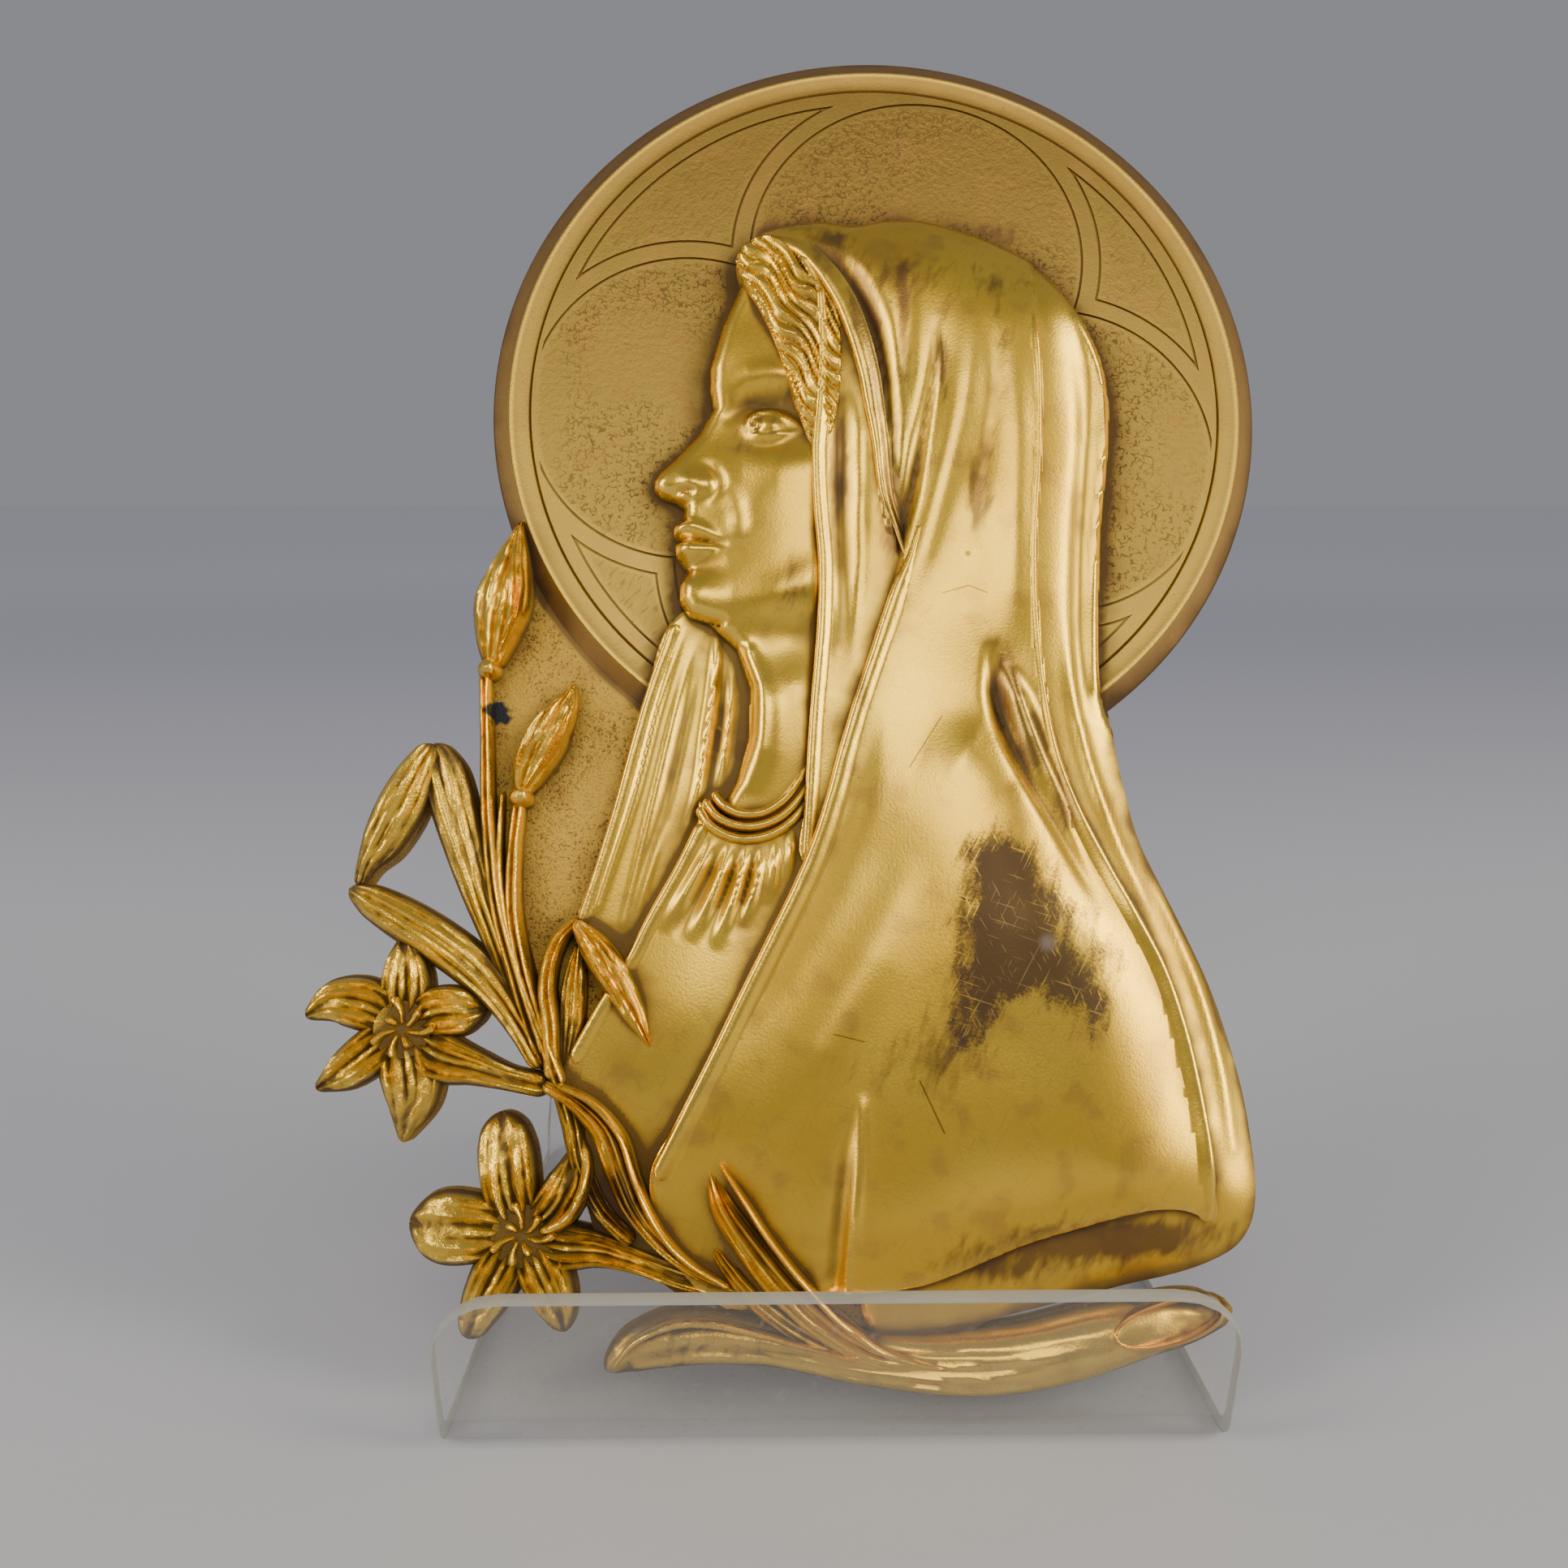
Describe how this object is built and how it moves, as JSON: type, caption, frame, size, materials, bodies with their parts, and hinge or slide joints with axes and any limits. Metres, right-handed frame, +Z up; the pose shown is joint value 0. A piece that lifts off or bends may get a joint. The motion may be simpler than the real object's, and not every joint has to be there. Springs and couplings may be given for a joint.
{
  "type": "religious plaque on a display stand",
  "caption": "Openwork cast brass relief of a veiled head in a round halo with lilies, leaning on a bent clear sheet stand.",
  "frame": {"origin": "under the middle of the whole object, on the surface that the stand's base rests on", "axes": "+Z up, +X to the viewer's right, -Y out of the relief's front towards the viewer"},
  "size_m": [0.133, 0.0942, 0.1825],
  "materials": {
    "gilt_brass": "worn satin gold with dark brown patina in the hollows",
    "clear_acrylic": "clear, polished"
  },
  "bodies": {
    "root": {"plaque": "gilt_brass", "display_stand": "clear_acrylic"}
  },
  "joints": []
}
